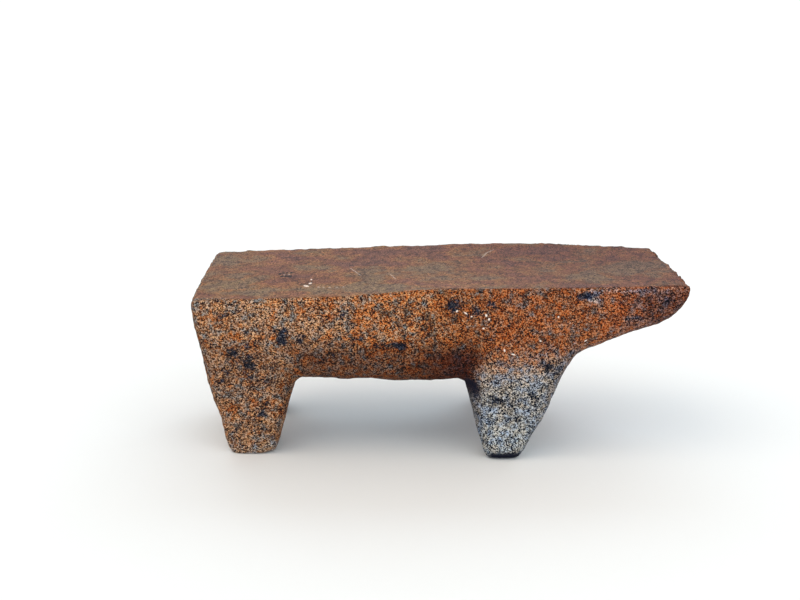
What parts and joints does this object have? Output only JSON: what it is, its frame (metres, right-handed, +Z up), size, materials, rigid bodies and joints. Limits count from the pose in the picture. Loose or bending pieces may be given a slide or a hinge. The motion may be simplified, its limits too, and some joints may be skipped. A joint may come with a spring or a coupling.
{
  "type": "grinding stone",
  "caption": "Heavy stone slab with a flat worn grinding top, carved in one with four short tapered legs and overhanging them at one end in a wedge-shaped nose.",
  "frame": {"origin": "on the floor, under the middle of the stone's bounding box", "axes": "+X along the stone's length, from the end over the left legs to the nose; +Y from the face seen in the picture to the far face; +Z up, out of the grinding surface"},
  "size_m": [0.342, 0.177, 0.1246],
  "materials": {
    "stone": "rough pecked stone, ground smooth on top"
  },
  "bodies": {
    "root": {"grinding_stone": "stone"}
  },
  "joints": []
}
